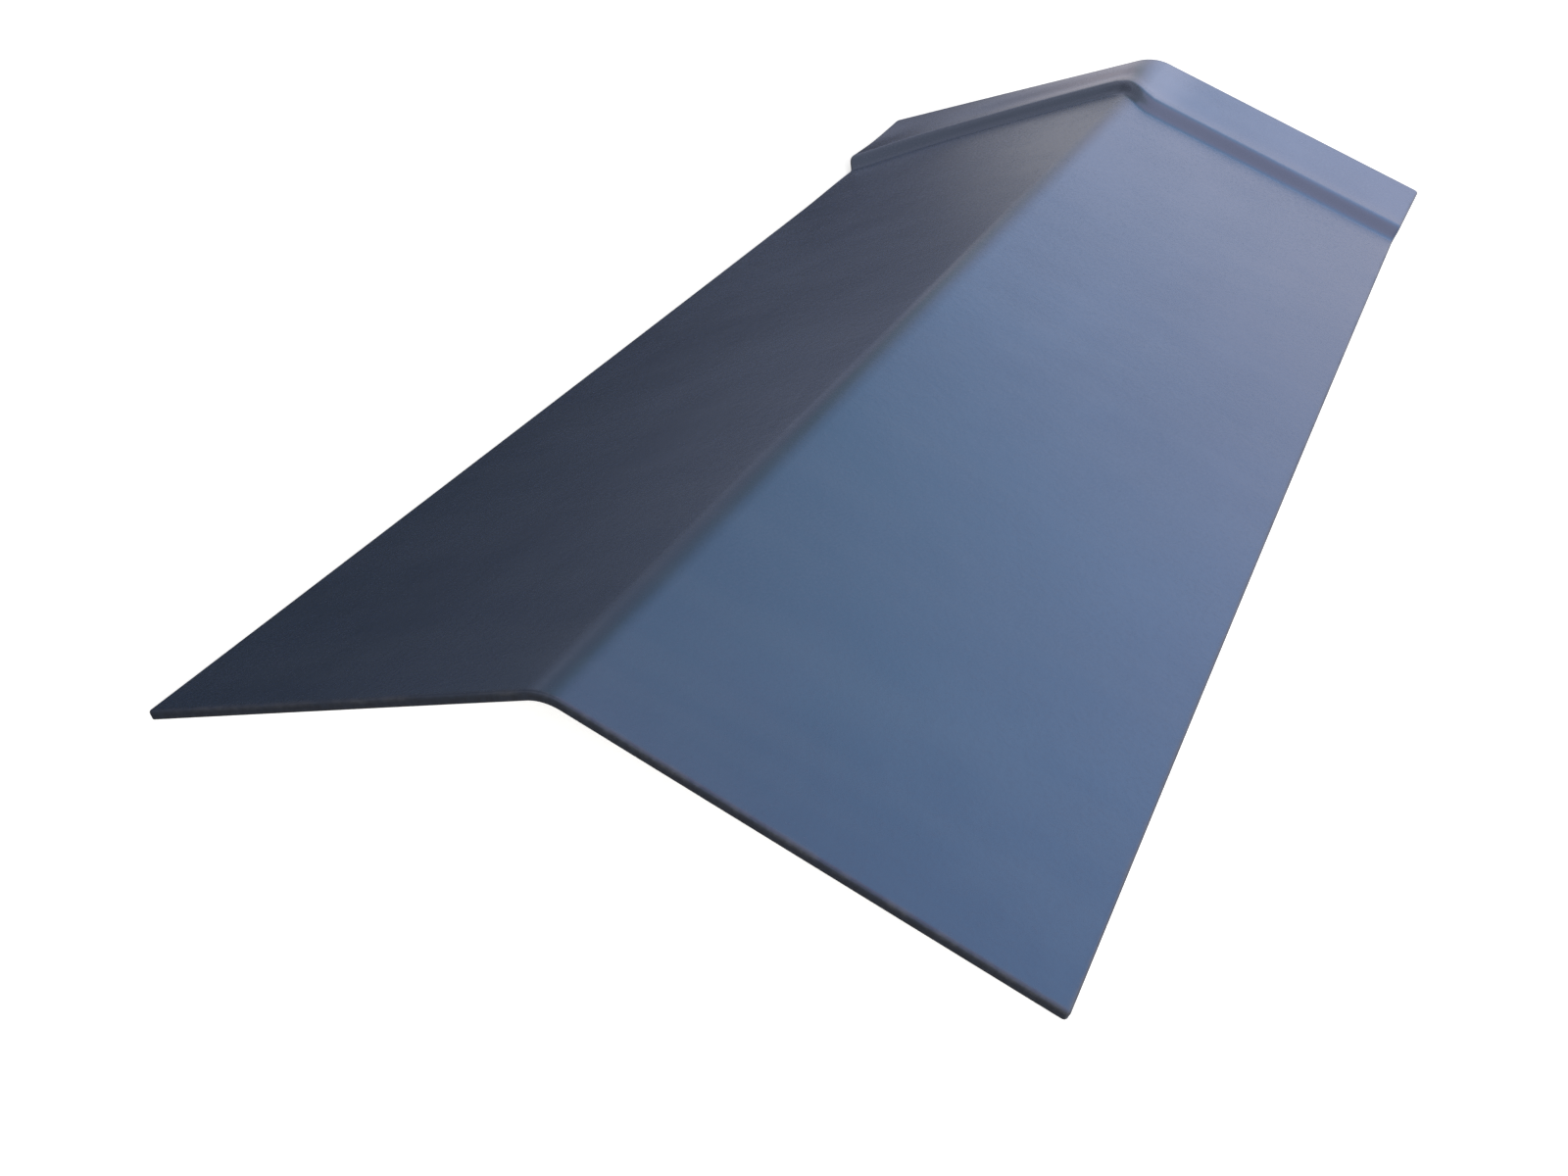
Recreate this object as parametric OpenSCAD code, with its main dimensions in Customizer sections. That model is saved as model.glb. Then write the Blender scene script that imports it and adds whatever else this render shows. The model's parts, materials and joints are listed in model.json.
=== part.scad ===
// Socketed angular ridge cap, moulded as one sheet of fibre cement.
// Two equal wings slope down from a rounded fold that runs along Y. At the +Y end the whole
// sheet steps up into a raised collar, which laps over the plain end of the next cap.
// It rests on the lower edges of its wings, at Z = 0, centred on X and Y.

/* [Wings] */
// Overall length along the ridge, collar included
cap_l = 1000; // [500:10:1200]
// Width of each wing down its slope, from the line where the two top planes would meet
wing_w = 245; // [150:5:350]
// Slope of each wing below level, in degrees
wing_slope = 20; // [10:1:40]
// Thickness of the sheet
sheet_t = 5; // [4:0.5:8]
// Radius of the fold, under the body
fold_r = 24; // [12:1:60]
// Radius of the wing corners at the plain end
plain_corner_r = 2; // [1:0.5:12]

/* [Collar] */
// Length of the raised collar, from the head of the joggle to its mouth
collar_l = 72; // [40:2:150]
// Height of the collar's underside over the body's underside
collar_rise = 11; // [10:0.5:25]
// How far each wing flares out past the body, from the foot of the joggle to the mouth
collar_flare = 1.5; // [0:0.5:6]
// Radius of the wing corners at the collar's mouth
collar_corner_r = 4; // [1:0.5:12]

/* [Joggle] */
// Slope of the joggle that steps the sheet up, at its steepest, in degrees
joggle_slope = 30; // [20:1:33]
// Radius of the hollow at the joggle's foot, over the sheet
hollow_r = 34; // [6:1:48]
// Radius of the bend at the joggle's head, under the sheet
crown_r = 24; // [3:1:36]

/* [Hidden] */
$fn = 144;

// The bends take up part of the rise, and a straight slope takes the rest
bend_sum = hollow_r + crown_r + sheet_t;
slope_l = (collar_rise - bend_sum * (1 - cos(joggle_slope))) / sin(joggle_slope);
joggle_l = bend_sum * sin(joggle_slope) + slope_l * cos(joggle_slope);

// Places along the ridge, from the plain end
head_y = cap_l - collar_l;
foot_y = head_y - joggle_l;

// Radii about the fold's axis, which body and collar share
body_top_r = fold_r + sheet_t;
collar_under_r = fold_r + collar_rise;
collar_top_r = collar_under_r + sheet_t;

// Flat width of a wing, from the fold's tangent line to the edge of the body
flat_w = wing_w - body_top_r * tan(wing_slope);
mouth_flat_w = flat_w + collar_flare;

// The fold's axis stands over the lower edges of the body's wings
axis_z = flat_w * sin(wing_slope) - fold_r * cos(wing_slope);

// Centres of the two bends, seen in the section along the ridge
hollow_c = [body_top_r + hollow_r, foot_y];
crown_c = [collar_under_r - crown_r, head_y];
bend_steps = 16;

// Reach of the cutting blocks, and how far each half of the fold turns past the middle, in degrees
cut_r = collar_top_r + 10;
overrun_a = 2;

function polar(r, a) = [r * cos(a), r * sin(a)];
function arc(c, r, from, to) =
    [for (i = [0:bend_steps]) c + polar(r, from + (to - from) * i / bend_steps)];

// Section along the ridge: X is the distance from the fold's axis, Y runs along the ridge.
// Its points go up the top face to the collar's mouth, and back down the under face.
module long_section() {
    polygon(concat(
        [[body_top_r, 0]],
        arc(hollow_c, hollow_r, 180, 180 - joggle_slope),
        arc(crown_c, crown_r + sheet_t, -joggle_slope, 0),
        [[collar_top_r, cap_l], [collar_under_r, cap_l]],
        arc(crown_c, crown_r, 0, -joggle_slope),
        arc(hollow_c, hollow_r + sheet_t, 180 - joggle_slope, 180),
        [[fold_r, 0]]
    ));
}

// The waste outside a round corner of radius r, whose point is at the origin
module corner_waste(r) {
    translate([-r, 0])
        difference() {
            square(r);
            translate([0, r])
                circle(r = r);
        }
}

// Outline of one wing, seen square to it: X runs down the slope, Y along the ridge
module wing_outline() {
    difference() {
        polygon([
            [0, 0],
            [flat_w, 0],
            [flat_w, foot_y],
            [mouth_flat_w, cap_l],
            [0, cap_l]
        ]);
        translate([flat_w, 0])
            corner_waste(plain_corner_r);
        translate([mouth_flat_w, cap_l])
            mirror([0, 1])
                corner_waste(collar_corner_r);
    }
}

// The left wing, square to the section: X is the distance from the fold's axis, Z runs down the slope
module wing() {
    intersection() {
        linear_extrude(height = mouth_flat_w)
            long_section();
        translate([cut_r, 0, 0])
            rotate([0, -90, 0])
                linear_extrude(height = cut_r)
                    wing_outline();
    }
}

// The left half of the fold, which turns about Y from the wing and runs a little past the middle
module half_fold() {
    rotate([-90, 0, 0])
        rotate_extrude(angle = wing_slope + overrun_a)
            long_section();
}

// The left half of the cap, cut off square at the middle, with the fold's axis on the Y axis
module left_half() {
    intersection() {
        rotate([0, -90 - wing_slope, 0]) {
            wing();
            half_fold();
        }
        translate([-wing_w - cut_r, 0, -wing_w])
            cube([wing_w + cut_r, cap_l, wing_w + cut_r]);
    }
}

module ridge_cap() {
    color([0.30, 0.35, 0.45])
        translate([0, -cap_l / 2, axis_z]) {
            left_half();
            mirror([1, 0, 0])
                left_half();
        }
}

ridge_cap();
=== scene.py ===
import json
import math
import random

import bpy
import numpy as np
from mathutils import Matrix, Vector

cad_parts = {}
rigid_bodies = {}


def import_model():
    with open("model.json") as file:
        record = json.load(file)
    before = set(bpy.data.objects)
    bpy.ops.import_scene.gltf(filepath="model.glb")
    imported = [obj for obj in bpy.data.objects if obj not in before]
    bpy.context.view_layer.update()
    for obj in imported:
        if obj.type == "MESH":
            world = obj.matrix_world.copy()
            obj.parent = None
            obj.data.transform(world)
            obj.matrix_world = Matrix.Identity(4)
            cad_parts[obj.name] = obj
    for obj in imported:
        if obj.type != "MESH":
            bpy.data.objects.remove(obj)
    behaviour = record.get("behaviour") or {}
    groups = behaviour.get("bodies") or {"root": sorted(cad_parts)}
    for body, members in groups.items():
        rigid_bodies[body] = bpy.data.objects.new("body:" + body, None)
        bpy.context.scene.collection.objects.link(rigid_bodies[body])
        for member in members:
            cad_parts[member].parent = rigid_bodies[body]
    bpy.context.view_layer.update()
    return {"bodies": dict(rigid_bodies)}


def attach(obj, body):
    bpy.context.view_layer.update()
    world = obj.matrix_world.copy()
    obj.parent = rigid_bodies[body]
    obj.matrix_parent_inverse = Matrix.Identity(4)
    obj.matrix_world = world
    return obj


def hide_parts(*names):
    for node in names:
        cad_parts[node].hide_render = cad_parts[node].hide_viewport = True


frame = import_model()

# Sizes of the cap in metres, as in the CAD source
CAP_L = 1.0
WING_W = 0.245
SLOPE = math.radians(20.0)
SHEET_T = 0.005
FOLD_R = 0.024
COLLAR_FLARE = 0.0015
PLAIN_CORNER_R = 0.002
COLLAR_CORNER_R = 0.004

# The joggle as moulded: a lower, shorter step than drawn, after which the collar opens to its mouth
FOOT_Y = 0.8975
HEAD_RISE = 0.0076
MOUTH_RISE = 0.0123
JOGGLE_SLOPE = math.radians(30.0)
HOLLOW_R = 0.022
CROWN_R = 0.016
BEND_SUM = HOLLOW_R + CROWN_R + SHEET_T
SLOPE_L = (HEAD_RISE - BEND_SUM * (1 - math.cos(JOGGLE_SLOPE))) / math.sin(JOGGLE_SLOPE)
JOGGLE_L = BEND_SUM * math.sin(JOGGLE_SLOPE) + SLOPE_L * math.cos(JOGGLE_SLOPE)
HEAD_Y = FOOT_Y + JOGGLE_L
FLAT_W = WING_W - (FOLD_R + SHEET_T) * math.tan(SLOPE)
AXIS_Z = FLAT_W * math.sin(SLOPE) - FOLD_R * math.cos(SLOPE)

# Softened arrises, and how far hand moulding leaves the sheet from true
TOP_ARRIS_R = 0.0014
UNDER_ARRIS_R = 0.0006
WAVE_MM = 0.22
LEFT_BOW = 0.0022
RIGHT_BOW = 0.0010
LEFT_BULGE = 0.0027
COLLAR_BULGE = 0.0036
LEFT_LIFT = 0.0018
LEFT_DIP = 0.0014

# Distances of the mesh lines from an edge, closest at the arris
EDGE_LINES = [0.0, 0.00012, 0.0004, 0.0008, 0.0013, 0.002, 0.003, 0.0045, 0.0068, 0.010, 0.0145, 0.020]


def smooth_step(a, b, x):
    t = np.clip((x - a) / (b - a), 0.0, 1.0)
    return t * t * (3.0 - 2.0 * t)


def lines_between(start, end, step):
    n = max(1, int(round((end - start) / step)))
    return [start + (end - start) * i / n for i in range(1, n)]


def long_lines():
    # Rows along the ridge: distance from the plain end, and place in the joggle's section
    rows = [(y, None) for y in EDGE_LINES]
    rows += [(y, None) for y in lines_between(EDGE_LINES[-1], FOOT_Y, 0.0105)]
    steps = 10
    rows += [(None, ("hollow", i / steps)) for i in range(steps + 1)]
    rows += [(None, ("slope", i / 3)) for i in range(1, 3)]
    rows += [(None, ("crown", i / steps)) for i in range(steps + 1)]
    far = [CAP_L - d for d in reversed(EDGE_LINES)]
    rows += [(y, None) for y in lines_between(HEAD_Y, far[0], 0.0075)]
    rows += [(y, None) for y in far]
    return rows


def section_at(row):
    # Radius and place along the ridge, under the sheet and on top of it
    y, part = row
    if part is None:
        r = FOLD_R if y < FOOT_Y else FOLD_R + HEAD_RISE
        return r, y, r + SHEET_T, y
    kind, f = part
    a = JOGGLE_SLOPE
    hollow = (FOLD_R + SHEET_T + HOLLOW_R, FOOT_Y)
    crown = (FOLD_R + HEAD_RISE - CROWN_R, HEAD_Y)

    def on_hollow(r, ang):
        return hollow[0] - r * math.cos(ang), hollow[1] + r * math.sin(ang)

    def on_crown(r, ang):
        return crown[0] + r * math.cos(ang), crown[1] - r * math.sin(ang)

    if kind == "hollow":
        top, under = on_hollow(HOLLOW_R, f * a), on_hollow(HOLLOW_R + SHEET_T, f * a)
    elif kind == "crown":
        top, under = on_crown(CROWN_R + SHEET_T, (1 - f) * a), on_crown(CROWN_R, (1 - f) * a)
    else:
        t0, u0 = on_hollow(HOLLOW_R, a), on_hollow(HOLLOW_R + SHEET_T, a)
        t1, u1 = on_crown(CROWN_R + SHEET_T, a), on_crown(CROWN_R, a)
        top = tuple(p + (q - p) * f for p, q in zip(t0, t1))
        under = tuple(p + (q - p) * f for p, q in zip(u0, u1))
    return under[0], under[1], top[0], top[1]


def cross_lines():
    # Columns across the cap: side, angle about the fold's axis, distance down the wing
    wing = [FLAT_W - d for d in EDGE_LINES]
    wing += list(reversed(lines_between(0.0, wing[-1], 0.0095)))
    wing.append(0.0)
    left = [(-1.0, SLOPE, s) for s in wing]
    fold_steps = 18
    fold = []
    for i in range(1, fold_steps):
        b = -SLOPE + 2 * SLOPE * i / fold_steps
        fold.append((math.copysign(1.0, b) if b else 1.0, abs(b), -1.0))
    right = [(1.0, SLOPE, s) for s in reversed(wing)]
    return left + fold + right


def round_corner(dx, dy, radius):
    # Moves mesh points near a corner so that each ring turns it with its own radius
    d = np.minimum(dx, dy)
    along = np.maximum(dx, dy) - d
    r = np.maximum(radius - d, 1e-9)
    path = along * (1 + math.pi / 4) / 2
    inside = along < 2 * r
    on_arc = path < r * math.pi / 4
    ang = math.pi / 4 - path / r
    a_arc = d + r - r * np.sin(ang)
    p_arc = d + r - r * np.cos(ang)
    a_new = np.where(on_arc, a_arc, d + r + path - r * math.pi / 4)
    p_new = np.where(on_arc, p_arc, d)
    a_new = np.where(inside, a_new, d + along)
    p_new = np.where(inside, p_new, d)
    swap = dx > dy
    return np.where(swap, a_new, p_new), np.where(swap, p_new, a_new)


def waves(seed, count, longest, shortest):
    rnd = random.Random(seed)
    out = []
    for _ in range(count):
        length = math.exp(rnd.uniform(math.log(shortest), math.log(longest)))
        turn = rnd.uniform(0, 2 * math.pi)
        k = 2 * math.pi / length
        out.append((k * math.cos(turn), k * math.sin(turn), rnd.uniform(0, 2 * math.pi), length / longest))
    return out


def wave_sum(table, x, y):
    total = np.zeros_like(x)
    for kx, ky, phase, size in table:
        total += size * np.sin(kx * x + ky * y + phase)
    return total / math.sqrt(len(table))


def cap_points():
    rows = long_lines()
    cols = cross_lines()
    sec = np.array([section_at(r) for r in rows])
    side = np.array([c[0] for c in cols])[None, :]
    ang = np.array([c[1] for c in cols])[None, :]
    s0 = np.array([max(c[2], 0.0) for c in cols])[None, :]
    on_fold = np.array([c[2] < 0 for c in cols])[None, :]
    ny, nx = len(rows), len(cols)
    y_mid = 0.5 * (sec[:, 1] + sec[:, 3])[:, None] * np.ones((1, nx))
    dx = np.where(on_fold, 1.0, FLAT_W - s0) * np.ones((ny, 1))
    dist_near = y_mid.copy()
    dist_far = CAP_L - y_mid
    edge_d = np.minimum(dx, np.minimum(dist_near, dist_far))
    # Corners at the plain end and at the mouth
    shift_y = np.zeros((ny, nx))
    new_dx = dx.copy()
    for dist, radius, sign in ((dist_near, PLAIN_CORNER_R, 1.0), (dist_far, COLLAR_CORNER_R, -1.0)):
        here = (dist < 0.02) & (dx < 0.02)
        ax, ay = round_corner(dx, dist, radius)
        new_dx = np.where(here, ax, new_dx)
        shift_y = np.where(here, sign * (ay - dist), shift_y)
    s_flat = FLAT_W - new_dx
    y_at = y_mid + shift_y
    bow = np.where(side < 0, LEFT_BOW, RIGHT_BOW)
    flare = COLLAR_FLARE * np.clip((y_at - FOOT_Y) / (CAP_L - FOOT_Y), 0, 1)
    hollowing = bow * (1 - ((y_at - CAP_L / 2) / (CAP_L / 2)) ** 2)
    bulge = LEFT_BULGE * smooth_step(0.76, FOOT_Y, y_at)
    bulge += COLLAR_BULGE * smooth_step(FOOT_Y, FOOT_Y + 0.022, y_at)
    bulge = np.where(side < 0, bulge * (1 - smooth_step(HEAD_Y - 0.01, CAP_L, y_at)), 0.0)
    reach = (FLAT_W + flare + bulge - hollowing) / FLAT_W
    s_flat = np.where(on_fold, 0.0, s_flat * reach)
    # The joggle runs slightly askew, most over the left wing
    window = smooth_step(FOOT_Y - 0.16, FOOT_Y - 0.01, y_at) * (1 - smooth_step(HEAD_Y, CAP_L - 0.003, y_at))
    across = side * (s_flat + 0.029 * ang)
    left = smooth_step(-0.020, 0.022, -across)
    askew = (0.0395 - 1.0 * across ** 2) * left * window
    shift_y = shift_y + askew
    # Height off true: broad waves, and a sag in the collar's left edge
    arc = side * (s_flat + 0.045 * ang / SLOPE)
    wave = wave_sum(waves(11, 9, 0.55, 0.16), arc, y_at) + 0.18 * wave_sum(waves(12, 12, 0.12, 0.05), arc, y_at)
    calm = 0.35 + 0.65 * smooth_step(0.0, 0.03, edge_d)
    off = WAVE_MM * 0.001 * wave * calm
    sag_y = np.exp(-((y_at - (CAP_L - 0.048)) / 0.026) ** 2)
    sag_s = np.where(side < 0, smooth_step(FLAT_W - 0.075, FLAT_W, s_flat), 0.0)
    off = off - LEFT_DIP * sag_y * sag_s

    # The joggle is a little higher at the left edge, and the collar opens from there to its mouth
    past = np.maximum(y_mid - HEAD_Y, 0.0)
    opened = (past - 0.006 * (1 - np.exp(-past / 0.006))) / (CAP_L - HEAD_Y - 0.006)
    extra = LEFT_LIFT * smooth_step(0.12, FLAT_W, -across)
    more = (MOUTH_RISE - HEAD_RISE - extra) * opened
    lift_under = (sec[:, 0][:, None] - FOLD_R) * (1 + extra / HEAD_RISE) + more
    lift_top = (sec[:, 2][:, None] - FOLD_R - SHEET_T) * (1 + extra / HEAD_RISE) + more

    def place(h):
        f = h / SHEET_T
        r = FOLD_R + h + lift_under * (1 - f) + lift_top * f
        y = sec[:, 1][:, None] * (1 - f) + sec[:, 3][:, None] * f + shift_y
        x = side * (r * np.sin(ang) + s_flat * np.cos(ang))
        z = AXIS_Z + r * np.cos(ang) - s_flat * np.sin(ang)
        x = x + off * side * np.sin(ang)
        z = z + off * np.cos(ang)
        return np.stack([x, y - CAP_L / 2, z], -1)

    def drop(radius):
        inner = np.clip(radius - edge_d, 0.0, radius)
        return radius - np.sqrt(np.maximum(radius ** 2 - inner ** 2, 0.0))

    top = place(SHEET_T - drop(TOP_ARRIS_R))
    under = place(drop(UNDER_ARRIS_R))
    # Painted reflection: the collar is painted paler and greyer, most over the fold and least at the left edge
    sheen_right = 0.09 + 0.22 * (1 - smooth_step(0.010, 0.055, across))
    sheen_left = 0.31 + 0.67 * smooth_step(0.0, 0.016, -across) - 0.97 * smooth_step(0.012, 0.165, -across)
    collar = np.where(side < 0, sheen_left, sheen_right) * smooth_step(HEAD_Y - 0.006, HEAD_Y + 0.006, y_mid)
    collar = np.maximum(collar, 0.07 * smooth_step(FOOT_Y - 0.002, FOOT_Y + 0.010, y_mid))
    return top, under, edge_d, collar


def ring_of(ny, nx):
    ring = [(0, i) for i in range(nx)]
    ring += [(j, nx - 1) for j in range(1, ny)]
    ring += [(ny - 1, i) for i in range(nx - 2, -1, -1)]
    ring += [(j, 0) for j in range(ny - 2, 0, -1)]
    return ring


def build_cap():
    top, under, edge_d, collar = cap_points()
    ny, nx = edge_d.shape
    verts = [tuple(p) for p in top.reshape(-1, 3)]
    verts += [tuple(p) for p in under.reshape(-1, 3)]
    base = ny * nx
    wear = list(np.exp(-(edge_d.reshape(-1) / 0.0016) ** 2))
    wear += list(np.exp(-(edge_d.reshape(-1) / 0.0012) ** 2))
    # The cut mask carries painted shade: nearly black on the cut faces and close to the arrises
    cut = list(0.9 * np.exp(-(edge_d.reshape(-1) / 0.0016) ** 2))
    cut += list(np.exp(-(edge_d.reshape(-1) / 0.0030) ** 2))
    # The collar's painted reflection, given to the top and the underside alike
    sheen_values = list(collar.reshape(-1)) * 2
    coat = [1.0] * base
    coat += list(0.55 * np.exp(-(edge_d.reshape(-1) / 0.006)))
    faces = []
    for j in range(ny - 1):
        for i in range(nx - 1):
            a, b = j * nx + i, j * nx + i + 1
            c, d = (j + 1) * nx + i + 1, (j + 1) * nx + i
            faces.append((a, b, c, d))
            faces.append((base + a, base + d, base + c, base + b))
    ring = ring_of(ny, nx)
    levels = 3
    loops = [[j * nx + i for j, i in ring]]
    for k in range(1, levels):
        f = k / levels
        loop = []
        for j, i in ring:
            p = top[j, i] * (1 - f) + under[j, i] * f
            loop.append(len(verts))
            verts.append(tuple(p))
            wear.append(0.12)
            coat.append(1.0)
            cut.append(1.0)
            sheen_values.append(0.0)
        loops.append(loop)
    loops.append([base + j * nx + i for j, i in ring])
    n = len(ring)
    for upper, lower in zip(loops[:-1], loops[1:]):
        for q in range(n):
            r = (q + 1) % n
            faces.append((upper[q], lower[q], lower[r], upper[r]))
    mesh = bpy.data.meshes.new("cap_sheet")
    mesh.from_pydata(verts, [], faces)
    mesh.update()
    for name, values in (("wear", wear), ("coat", coat), ("cut", cut), ("collar", sheen_values)):
        layer = mesh.attributes.new(name, "FLOAT", "POINT")
        layer.data.foreach_set("value", np.array(values, np.float32))
    for p in mesh.polygons:
        p.use_smooth = True
    obj = bpy.data.objects.new("cap_sheet", mesh)
    bpy.context.scene.collection.objects.link(obj)
    return obj


class Nodes:
    # Small helper that adds nodes to a tree and links them
    def __init__(self, tree):
        self.tree = tree
        self.tree.nodes.clear()

    def add(self, kind, inputs=None, **props):
        node = self.tree.nodes.new(kind)
        for k, v in props.items():
            setattr(node, k, v)
        for k, v in (inputs or {}).items():
            if isinstance(v, bpy.types.NodeSocket):
                self.tree.links.new(v, node.inputs[k])
            else:
                node.inputs[k].default_value = v
        return node

    def math(self, op, a, b=0.0, clamp=False):
        return self.add("ShaderNodeMath", {0: a, 1: b}, operation=op, use_clamp=clamp).outputs[0]

    def noise(self, vector, scale, detail=3.0, rough=0.5, distortion=0.0):
        node = self.add("ShaderNodeTexNoise", {
            "Vector": vector, "Scale": scale, "Detail": detail, "Roughness": rough, "Distortion": distortion})
        return node.outputs["Fac"]

    def ramp(self, fac, lo, hi, out_lo=0.0, out_hi=1.0):
        node = self.add("ShaderNodeMapRange", {
            "Value": fac, "From Min": lo, "From Max": hi, "To Min": out_lo, "To Max": out_hi})
        node.interpolation_type = "SMOOTHSTEP"
        return node.outputs["Result"]

    def mix(self, fac, a, b, blend="MIX"):
        node = self.add("ShaderNodeMix", data_type="RGBA", blend_type=blend)
        for socket, value in ((node.inputs[0], fac), (node.inputs[6], a), (node.inputs[7], b)):
            if isinstance(value, bpy.types.NodeSocket):
                self.tree.links.new(value, socket)
            else:
                socket.default_value = value
        return node.outputs[2]

    def stretch(self, vector, scale):
        return self.add("ShaderNodeMapping", {"Vector": vector, "Scale": scale}).outputs["Vector"]

    def attribute(self, name):
        return self.add("ShaderNodeAttribute", attribute_name=name).outputs["Fac"]


def cap_material():
    mat = bpy.data.materials.new("coated_fibre_cement")
    mat.use_nodes = True
    n = Nodes(mat.node_tree)
    out = n.add("ShaderNodeOutputMaterial")
    bsdf = n.add("ShaderNodeBsdfPrincipled")
    n.tree.links.new(bsdf.outputs[0], out.inputs["Surface"])
    place = n.add("ShaderNodeTexCoord").outputs["Object"]
    # Colour of the coating: broad drift, cloudy patches, passes of the spray across the wings
    drift = n.noise(place, 3.2, 2.0, 0.5, 0.4)
    cloud = n.noise(place, 14.0, 4.0, 0.55, 0.3)
    passes = n.noise(n.stretch(place, (1.6, 34.0, 1.6)), 1.0, 3.0, 0.5)
    grain = n.noise(place, 420.0, 4.0, 0.6)
    blue = n.mix(n.ramp(drift, 0.35, 0.65), (0.022, 0.037, 0.064, 1), (0.029, 0.047, 0.077, 1))
    blue = n.mix(n.ramp(cloud, 0.45, 0.72, 0.0, 0.35), blue, (0.036, 0.054, 0.084, 1))
    blue = n.mix(n.ramp(passes, 0.42, 0.66, 0.0, 0.22), blue, (0.040, 0.056, 0.082, 1))
    blue = n.mix(n.ramp(grain, 0.40, 0.70, 0.0, 0.22), blue, (0.019, 0.030, 0.052, 1))
    # Cement where no coating reached, with the weave of the felt it was moulded on
    weave = n.noise(n.stretch(place, (170.0, 560.0, 170.0)), 1.0, 3.0, 0.6)
    stain = n.noise(place, 7.0, 4.0, 0.6, 0.5)
    cement = n.mix(n.ramp(stain, 0.35, 0.7), (0.26, 0.255, 0.24, 1), (0.36, 0.355, 0.335, 1))
    cement = n.mix(n.ramp(weave, 0.35, 0.7, 0.0, 0.45), cement, (0.19, 0.187, 0.178, 1))
    coat = n.attribute("coat")
    wear = n.attribute("wear")
    fleck = n.noise(place, 260.0, 5.0, 0.7)
    chips = n.noise(place, 38.0, 4.0, 0.65)
    covered = n.ramp(n.math("ADD", coat, n.math("MULTIPLY", n.math("SUBTRACT", fleck, 0.5), 0.7)), 0.35, 0.62)
    worn = n.math("MULTIPLY", wear, n.ramp(n.math("ADD", chips, n.math("MULTIPLY", fleck, 0.35)), 0.60, 0.78))
    # Painted reflection: the collar mask mixes the coating towards a pale lilac grey
    blue = n.mix(n.attribute("collar"), blue, (0.410, 0.385, 0.440, 1))
    rubbed = n.math("MULTIPLY", wear, n.ramp(chips, 0.30, 0.75, 0.0, 0.16))
    colour = n.mix(rubbed, blue, (0.125, 0.118, 0.112, 1))
    colour = n.mix(n.math("MULTIPLY", worn, 0.22), colour, (0.17, 0.16, 0.15, 1))
    colour = n.mix(covered, cement, colour)
    # The cut faces round the sheet are nearly black: the dark coating, darkened further with painted shade
    cut = n.math("MULTIPLY", n.attribute("cut"), n.ramp(fleck, 0.30, 0.75, 1.0, 0.75))
    colour = n.mix(cut, colour, (0.009, 0.010, 0.013, 1))
    n.tree.links.new(colour, bsdf.inputs["Base Color"])
    # Satin where coated, dull where bare
    gloss = n.ramp(n.noise(place, 9.0, 3.0, 0.6), 0.3, 0.7, 0.20, 0.26)
    gloss = n.math("ADD", gloss, n.ramp(grain, 0.4, 0.75, 0.0, 0.07))
    gloss = n.math("ADD", gloss, n.math("MULTIPLY", worn, 0.35))
    bare = n.math("SUBTRACT", 1.0, covered)
    rough = n.math("MAXIMUM", gloss, n.math("MULTIPLY", bare, 0.88), clamp=True)
    rough = n.math("MAXIMUM", rough, n.math("MULTIPLY", cut, 0.62))
    n.tree.links.new(rough, bsdf.inputs["Roughness"])
    bsdf.inputs["IOR"].default_value = 1.6
    # Relief: slight orange peel, the grain under the coating, and the felt's weave below
    peel = n.noise(place, 210.0, 2.0, 0.5)
    relief = n.math("ADD", n.math("MULTIPLY", peel, 0.5), n.math("MULTIPLY", grain, 0.35))
    relief = n.math("ADD", relief, n.math("MULTIPLY", n.math("MULTIPLY", weave, bare), 1.6))
    bump = n.add("ShaderNodeBump", {"Height": relief, "Strength": 0.35, "Distance": 0.0002})
    low = n.add("ShaderNodeBump", {
        "Height": n.noise(place, 26.0, 3.0, 0.5), "Strength": 0.35, "Distance": 0.0004, "Normal": bump.outputs[0]})
    n.tree.links.new(low.outputs[0], bsdf.inputs["Normal"])
    return mat


def floor_material():
    mat = bpy.data.materials.new("pale_floor")
    mat.use_nodes = True
    bsdf = mat.node_tree.nodes["Principled BSDF"]
    bsdf.inputs["Base Color"].default_value = (0.90, 0.90, 0.90, 1)
    bsdf.inputs["Roughness"].default_value = 0.9
    bsdf.inputs["Specular IOR Level"].default_value = 0.0
    bsdf.inputs["Emission Color"].default_value = (1, 1, 1, 1)
    bsdf.inputs["Emission Strength"].default_value = 0.55
    return mat


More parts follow.
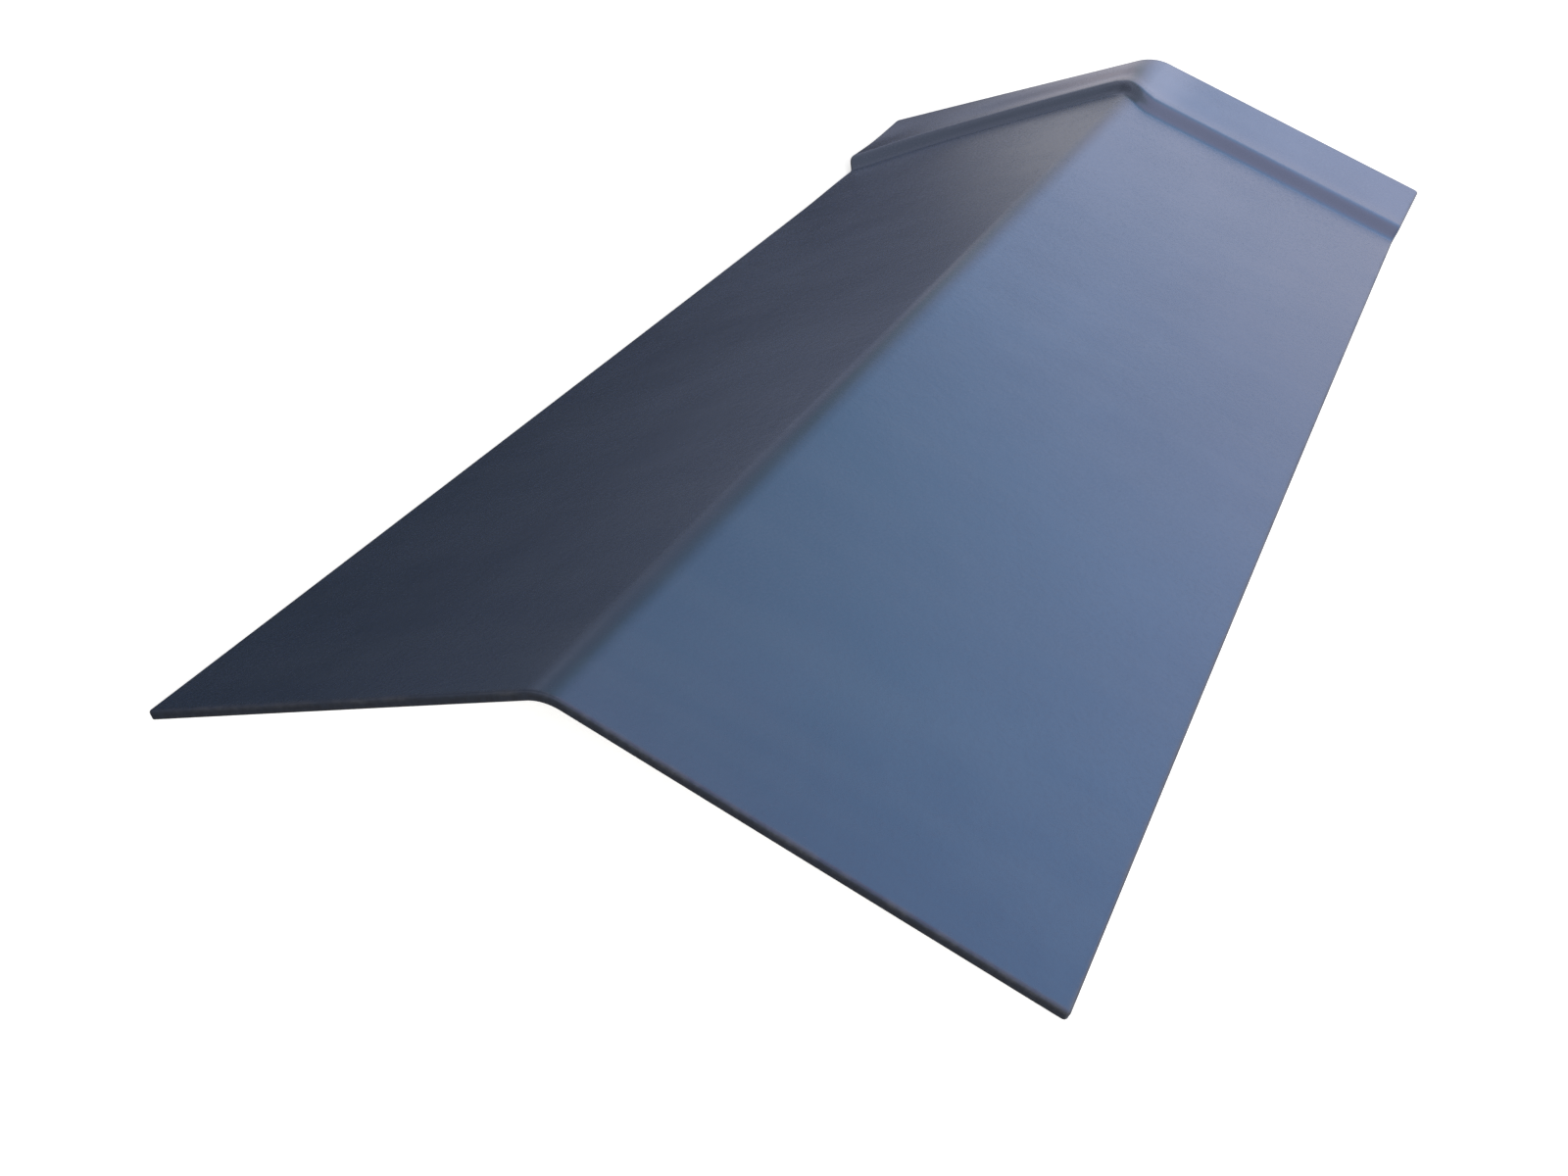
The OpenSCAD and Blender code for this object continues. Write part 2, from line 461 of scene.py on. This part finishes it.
def studio_world():
    # Soft sky: bright and bluish behind the collar, dim low on the left, even overhead
    world = bpy.data.worlds.new("studio")
    bpy.context.scene.world = world
    world.use_nodes = True
    n = Nodes(world.node_tree)
    out = n.add("ShaderNodeOutputWorld")
    bg = n.add("ShaderNodeBackground")
    n.tree.links.new(bg.outputs[0], out.inputs["Surface"])
    way = n.add("ShaderNodeTexCoord").outputs["Generated"]
    x, y, z = n.add("ShaderNodeSeparateXYZ", {0: way}).outputs[:3]
    turn = n.math("ARCTAN2", x, y)
    # What the satin coating mirrors. Azimuth is 0 behind the collar and grows towards the right wing
    # The edge of the bright part leans to the right as it rises
    leaned = n.math("SUBTRACT", turn, n.ramp(z, 0.25, 0.55, 0.0, math.radians(7)))
    pocket = n.math("MULTIPLY", n.ramp(z, 0.12, 0.20), n.ramp(z, 0.20, 0.27, 1.0, 0.0))
    leaned = n.math("ADD", leaned, n.math("MULTIPLY", pocket, math.radians(4.5)))
    side = n.ramp(leaned, math.radians(-26.2), math.radians(-22.8))
    side = n.math("MULTIPLY", side, n.ramp(turn, math.radians(100), math.radians(165), 1.0, 0.0))
    sky = n.ramp(turn, math.radians(-25), math.radians(4), 0.62, 1.37)
    sky = n.math("ADD", sky, n.math("MULTIPLY", pocket, n.ramp(turn, math.radians(-22), math.radians(-16), 0.14, 0.0)))
    sky = n.math("MULTIPLY", sky, n.ramp(z, 0.40, 0.66, 1.0, 0.60))
    sky = n.math("MULTIPLY", sky, n.ramp(z, 0.36, 0.46, 1.0, 1.05))
    sky = n.math("MULTIPLY", sky, n.ramp(z, -0.12, 0.0, 0.5, 1.0))
    high = n.math("MULTIPLY", n.ramp(z, 0.40, 0.62), n.ramp(turn, 0.0, math.radians(22), -0.25, 0.38))
    sky = n.math("MULTIPLY", sky, n.math("ADD", high, 1.0))
    front = n.math("MULTIPLY", n.ramp(y, -0.8, -0.1, 0.55, 0.0), n.ramp(z, 0.02, 0.3))
    low = n.ramp(turn, math.radians(-65), math.radians(-30), 0.45, 1.0)
    dim = n.math("MULTIPLY", n.ramp(z, 0.02, 0.16, 0.042, 0.36), low)
    glow = n.math("MULTIPLY", n.ramp(turn, math.radians(-46), math.radians(-34)), n.ramp(z, 0.05, 0.18))
    glow = n.math("MULTIPLY", glow, n.ramp(z, 0.20, 0.32, 0.20, 0.0))
    dim = n.math("ADD", dim, glow)
    dim = n.math("MULTIPLY", dim, n.ramp(z, 0.42, 0.60, 1.0, 0.72))
    lift = n.math("MULTIPLY", n.ramp(z, 0.34, 0.48), n.ramp(turn, math.radians(-46), math.radians(-34), 1.3, 0.0))
    dim = n.math("MULTIPLY", dim, n.math("ADD", lift, 1.0))
    dim = n.math("ADD", dim, front)
    dim = n.math("MULTIPLY", dim, n.ramp(z, -0.02, 0.02, 0.4, 1.0))
    level = n.math("ADD", n.math("MULTIPLY", sky, side), n.math("MULTIPLY", dim, n.math("SUBTRACT", 1.0, side)))
    over = n.math("MULTIPLY", n.ramp(z, 0.62, 0.92), n.ramp(turn, math.radians(-45), math.radians(-10)))
    level = n.math("ADD", n.math("MULTIPLY", level, n.math("SUBTRACT", 1.0, over)), n.math("MULTIPLY", over, 1.0))
    tint = n.mix(n.ramp(z, 0.06, 0.32), (1.0, 1.0, 1.10, 1), (1.06, 1.05, 1.34, 1))
    deep = n.math("MULTIPLY", n.ramp(z, 0.28, 0.66), n.ramp(turn, math.radians(-38), math.radians(-12)))
    tint = n.mix(n.ramp(z, 0.35, 0.44), tint, (1.07, 1.15, 1.78, 1))
    deep_tint = n.mix(n.ramp(turn, math.radians(4), math.radians(22)), (0.48, 1.04, 1.84, 1), (0.61, 1.04, 1.98, 1))
    tint = n.mix(deep, tint, deep_tint)
    tint = n.mix(n.ramp(z, 0.68, 0.80), tint, (0.98, 0.97, 1.68, 1))
    fold = n.math("MULTIPLY", n.ramp(turn, math.radians(-24), math.radians(-14), 1.0, 0.0), n.ramp(z, 0.24, 0.32))
    tint = n.mix(fold, tint, (0.78, 1.12, 1.40, 1))
    cold = n.ramp(turn, math.radians(-30), math.radians(-24), 1.0, 0.0)
    tint = n.mix(cold, tint, (0.92, 0.99, 1.36, 1))
    grey = n.add("ShaderNodeCombineColor", {0: level, 1: level, 2: level}).outputs[0]
    mirrored = n.mix(1.0, tint, grey, "MULTIPLY")
    # What lights the matt surfaces: even, neutral, and dimmer from the left
    even = n.ramp(x, -0.8, 0.6, 0.13, 0.85)
    even = n.add("ShaderNodeCombineColor", {0: even, 1: even, 2: even}).outputs[0]
    path = n.add("ShaderNodeLightPath")
    colour = n.mix(path.outputs["Is Glossy Ray"], even, mirrored)
    colour = n.mix(path.outputs["Is Camera Ray"], colour, (1.0, 1.0, 1.0, 1))
    n.tree.links.new(colour, bg.inputs["Color"])
    world.cycles.sampling_method = "NONE"


def card(name, place, aim, size, power, colour):
    data = bpy.data.lights.new(name, "AREA")
    data.shape = "RECTANGLE"
    data.size, data.size_y = size
    data.energy = power
    data.color = colour
    obj = bpy.data.objects.new(name, data)
    obj.location = place
    way = Vector(aim) - Vector(place)
    obj.rotation_euler = way.to_track_quat("-Z", "Y").to_euler()
    bpy.context.scene.collection.objects.link(obj)
    return obj


def photo_camera():
    data = bpy.data.cameras.new("photo_camera")
    data.sensor_fit = "HORIZONTAL"
    data.sensor_width = 36.0
    data.lens = 1684.70 * 36.0 / 1600.0
    data.clip_start = 0.01
    data.clip_end = 100.0
    obj = bpy.data.objects.new("photo_camera", data)
    view = Vector((-0.3524, 0.7641, -0.5404)).normalized()
    right = Vector((0.9079, 0.4193, 0.0007))
    right = (right - view * right.dot(view)).normalized()
    up = right.cross(view)
    turn = Matrix((right, up, -view)).transposed().to_4x4()
    obj.matrix_world = Matrix.Translation((0.3164, -0.9508, 0.4858)) @ turn
    bpy.context.scene.collection.objects.link(obj)
    bpy.context.scene.camera = obj


def pale_floor():
    mesh = bpy.data.meshes.new("floor")
    r, z = 30.0, -0.0006
    mesh.from_pydata([(-r, -r, z), (r, -r, z), (r, r, z), (-r, r, z)], [], [(0, 1, 2, 3)])
    obj = bpy.data.objects.new("floor", mesh)
    mesh.materials.append(floor_material())
    bpy.context.scene.collection.objects.link(obj)
    obj.visible_glossy = False


photo_camera()
cap = build_cap()
cap.data.materials.append(cap_material())
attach(cap, sorted(frame["bodies"])[0])
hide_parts("ridge_cap")
pale_floor()
studio_world()
key = card("key_card", (2.3, -1.9, 1.15), (0.0, 0.0, 0.05), (2.2, 1.4), 130.0, (1.0, 0.98, 0.95))
key.visible_glossy = False
bpy.context.scene.view_settings.view_transform = "Standard"
